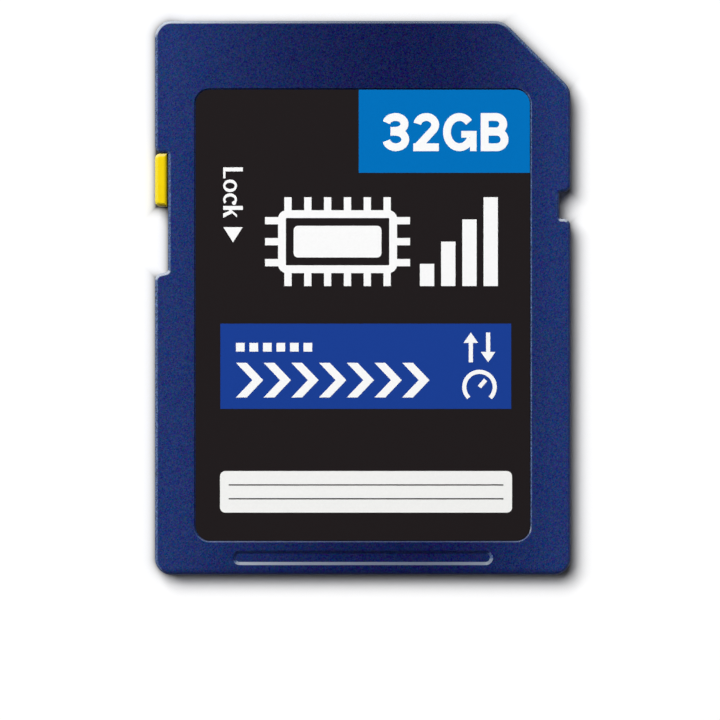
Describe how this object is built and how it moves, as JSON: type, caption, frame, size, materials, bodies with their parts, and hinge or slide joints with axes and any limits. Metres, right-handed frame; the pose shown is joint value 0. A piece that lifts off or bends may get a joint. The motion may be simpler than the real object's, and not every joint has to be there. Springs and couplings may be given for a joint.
{
  "type": "sd memory card",
  "caption": "Flat rectangular memory card with a cut corner, thin side rails, a sliding lock tab, a recessed front label and gold contacts in ribbed windows on its back.",
  "frame": {"origin": "middle of the rear face, which the card lies on: the bottom centre of its box", "axes": "+X across the card to the cut corner's side, +Y along it to the leading edge with the contacts, +Z out of the label"},
  "size_m": [0.024, 0.032, 0.0021],
  "materials": {
    "cover_plastic": "blue moulded plastic with a fine spark-eroded grain",
    "slider_plastic": "yellow moulded plastic, satin",
    "label_film": "printed film, black with two blue fields and white marks",
    "board_laminate": "green solder mask on glass laminate",
    "gold_plate": "hard gold plating",
    "package_resin": "black moulding compound",
    "capacitor_ceramic": "fired ceramic with tinned ends",
    "resistor_ceramic": "coated ceramic with tinned ends"
  },
  "bodies": {
    "card": {"front_cover": "cover_plastic", "rear_cover": "cover_plastic", "front_label": "label_film", "circuit_board": "board_laminate", "flash_memory": "package_resin", "controller": "package_resin", "contact_pad_1": "gold_plate", "contact_pad_2": "gold_plate", "contact_pad_3": "gold_plate", "contact_pad_4": "gold_plate", "contact_pad_5": "gold_plate", "contact_pad_6": "gold_plate", "contact_pad_7": "gold_plate", "contact_pad_8": "gold_plate", "contact_pad_9": "gold_plate", "capacitor_1": "capacitor_ceramic", "capacitor_2": "capacitor_ceramic", "capacitor_3": "capacitor_ceramic", "capacitor_4": "capacitor_ceramic", "resistor_1": "resistor_ceramic", "resistor_2": "resistor_ceramic", "resistor_3": "resistor_ceramic"},
    "slider": {"lock_slider": "slider_plastic"}
  },
  "joints": [
    {"name": "lock_slide", "type": "slide", "parent": "card", "child": "slider", "axis": [0, -1, 0], "range_m": [0, 0.0035]}
  ]
}
